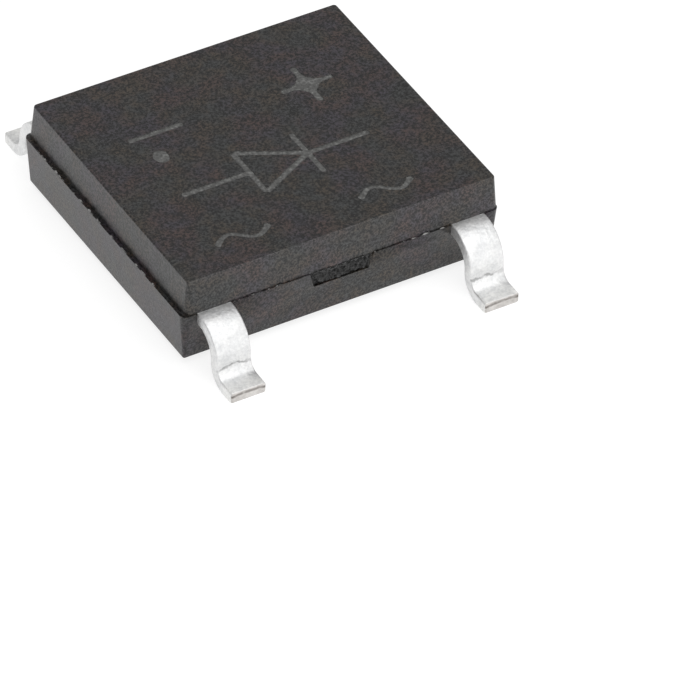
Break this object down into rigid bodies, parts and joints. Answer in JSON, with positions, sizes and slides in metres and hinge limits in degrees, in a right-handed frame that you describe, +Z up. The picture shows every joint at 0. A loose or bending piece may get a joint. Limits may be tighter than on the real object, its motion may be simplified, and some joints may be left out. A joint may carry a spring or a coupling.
{
  "type": "bridge rectifier",
  "caption": "Low-profile surface-mount bridge rectifier: flat drafted moulding with a parting-line ledge, and formed gull-wing leads at its corners for soldering to a board.",
  "frame": {"origin": "On the board plane, under the middle of the body: the centre of the bounding box's bottom face.", "axes": "+X along the lead pitch, from the minus lead's side to the plus lead's side; +Y across the body along the lead span, towards the two direct-current leads; +Z up from the board."},
  "size_m": [0.005, 0.0064, 0.0014],
  "materials": {
    "mould_compound": "fine spark-eroded matte, near-black mould compound",
    "tinned_lead": "matte tin plating on copper-alloy sheet",
    "silicon": "diced silicon with metallised faces",
    "solder": "reflowed high-melting solder"
  },
  "bodies": {
    "root": {"epoxy_body": "mould_compound", "lead_ac_left": "tinned_lead", "lead_ac_right": "tinned_lead", "lead_minus": "tinned_lead", "lead_plus": "tinned_lead", "die_minus_left": "silicon", "die_minus_right": "silicon", "die_plus_left": "silicon", "die_plus_right": "silicon", "solder_low_minus_left": "solder", "solder_low_minus_right": "solder", "solder_low_plus_left": "solder", "solder_low_plus_right": "solder", "solder_top_minus_left": "solder", "solder_top_minus_right": "solder", "solder_top_plus_left": "solder", "solder_top_plus_right": "solder"}
  },
  "joints": []
}
